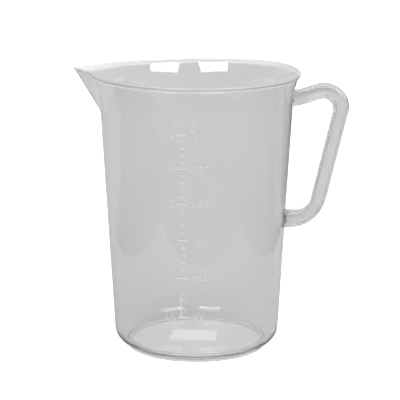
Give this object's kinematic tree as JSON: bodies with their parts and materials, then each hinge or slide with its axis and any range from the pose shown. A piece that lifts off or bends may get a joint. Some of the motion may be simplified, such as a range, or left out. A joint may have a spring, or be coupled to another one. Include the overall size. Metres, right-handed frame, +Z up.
{
  "type": "graduated measuring jug",
  "caption": "Tall tapered translucent plastic measuring beaker with a flared rim, V pouring spout, open loop handle and raised volume scale.",
  "frame": {"origin": "centre of the foot's underside, on the vessel's axis", "axes": "+Z up along the vessel's axis, +X towards the handle, -X towards the spout, -Y towards the side that carries the scale"},
  "size_m": [0.2293, 0.1718, 0.233],
  "materials": {
    "polypropylene": "translucent, glossy moulded surface with a slight haze",
    "raised_marks": "the same translucent plastic, slightly frosted",
    "label_paper": "plain white paper, blank"
  },
  "bodies": {
    "root": {"floor_and_corner": "polypropylene", "foot_ring": "polypropylene", "side_wall": "polypropylene", "flared_mouth": "polypropylene", "pouring_spout": "polypropylene", "rim_bead": "polypropylene", "handle_outer_flange": "polypropylene", "handle_inner_flange": "polypropylene", "handle_web": "polypropylene", "hundred_ml_ticks": "raised_marks", "half_litre_ticks": "raised_marks", "litre_numerals": "raised_marks", "millilitre_numerals": "raised_marks", "unit_marks": "raised_marks", "scale_line": "raised_marks", "base_label": "label_paper"}
  },
  "joints": []
}
